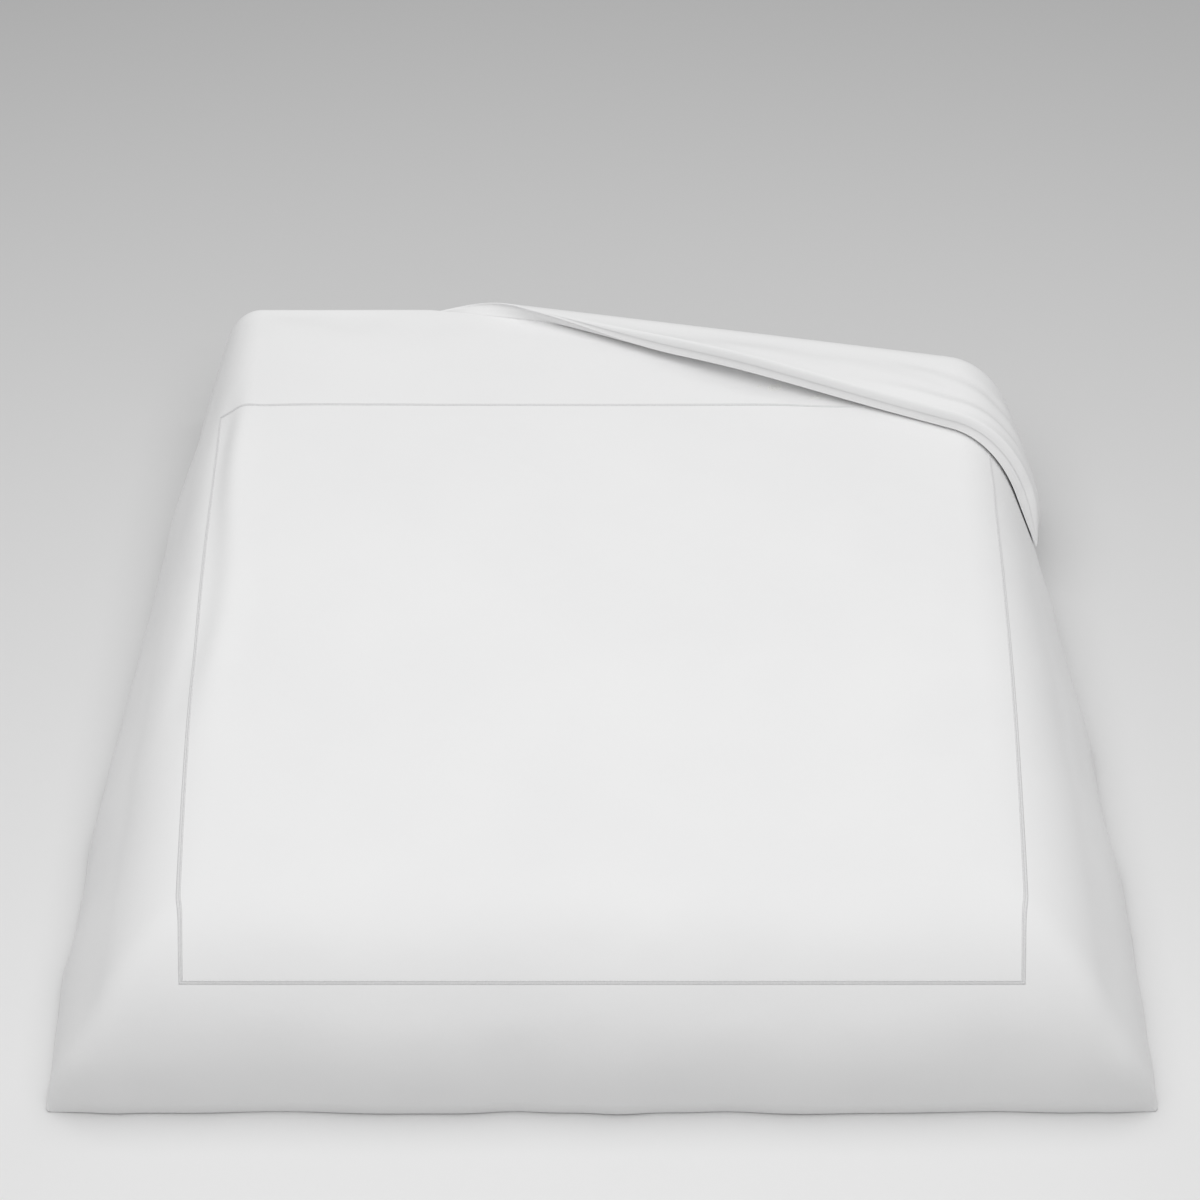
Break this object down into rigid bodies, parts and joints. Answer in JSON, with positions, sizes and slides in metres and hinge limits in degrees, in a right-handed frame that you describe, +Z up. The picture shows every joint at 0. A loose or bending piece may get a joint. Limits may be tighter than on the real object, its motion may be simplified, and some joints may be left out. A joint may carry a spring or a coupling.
{
  "type": "duvet",
  "caption": "Duvet in a plain zipped cover with a corded rectangle, draped over a double bed, one head corner turned back; box-stitched insert inside.",
  "frame": {"origin": "on the floor line of the hems, under the middle of the whole shape", "axes": "+X across the bed towards the turned-back corner's side, +Y from the foot hem to the head edge, +Z up"},
  "size_m": [1.8314, 1.8024, 0.3109],
  "materials": {
    "cover_cotton": "white cotton percale, pressed smooth, matt with a very slight sheen",
    "sewing_thread": "white corded stitching, slightly raised",
    "insert_ticking": "plain white downproof cotton",
    "filling": "soft white fibre",
    "woven_tape": "white woven tape",
    "nylon_coil": "white nylon coil",
    "zip_metal": "dull nickel"
  },
  "bodies": {
    "duvet": {"care_label": "woven_tape", "cover_band_foot": "cover_cotton", "cover_band_head": "cover_cotton", "cover_band_left": "cover_cotton", "cover_band_right": "cover_cotton", "cover_centre_panel": "cover_cotton", "cover_corded_line": "sewing_thread", "cover_tie_foot_left": "woven_tape", "cover_tie_foot_right": "woven_tape", "cover_tie_head_left": "woven_tape", "cover_tie_head_right": "woven_tape", "cover_under_panel": "cover_cotton", "cover_zip_strip": "cover_cotton", "filling_row1_pocket1": "filling", "filling_row1_pocket2": "filling", "filling_row1_pocket3": "filling", "filling_row1_pocket4": "filling", "filling_row1_pocket5": "filling", "filling_row2_pocket1": "filling", "filling_row2_pocket2": "filling", "filling_row2_pocket3": "filling", "filling_row2_pocket4": "filling", "filling_row2_pocket5": "filling", "filling_row3_pocket1": "filling", "filling_row3_pocket2": "filling", "filling_row3_pocket3": "filling", "filling_row3_pocket4": "filling", "filling_row3_pocket5": "filling", "filling_row4_pocket1": "filling", "filling_row4_pocket2": "filling", "filling_row4_pocket3": "filling", "filling_row4_pocket4": "filling", "filling_row4_pocket5": "filling", "filling_row5_pocket1": "filling", "filling_row5_pocket2": "filling", "filling_row5_pocket3": "filling", "filling_row5_pocket4": "filling", "filling_row5_pocket5": "filling", "insert_binding": "insert_ticking", "insert_loop_foot_left": "woven_tape", "insert_loop_foot_right": "woven_tape", "insert_loop_head_left": "woven_tape", "insert_loop_head_right": "woven_tape", "insert_shell_top": "insert_ticking", "insert_shell_under": "insert_ticking", "zip_coil_lower": "nylon_coil", "zip_coil_upper": "nylon_coil", "zip_stop_closed_end": "zip_metal", "zip_stop_open_end": "zip_metal", "zip_tape_lower": "woven_tape", "zip_tape_upper": "woven_tape"},
    "zip_slider": {"zip_slider": "zip_metal"},
    "zip_pull": {"zip_pull": "zip_metal"}
  },
  "joints": [
    {"name": "zip_slide", "type": "slide", "parent": "duvet", "child": "zip_slider", "axis": [-1, 0, 0], "range_m": [0, 1.181]},
    {"name": "zip_pull_swing", "type": "hinge", "parent": "zip_slider", "child": "zip_pull", "pos_m": [0.5906, -0.8875, 0.02078], "axis": [0, -0.2079, -0.9781], "range_deg": [0, 172]}
  ]
}
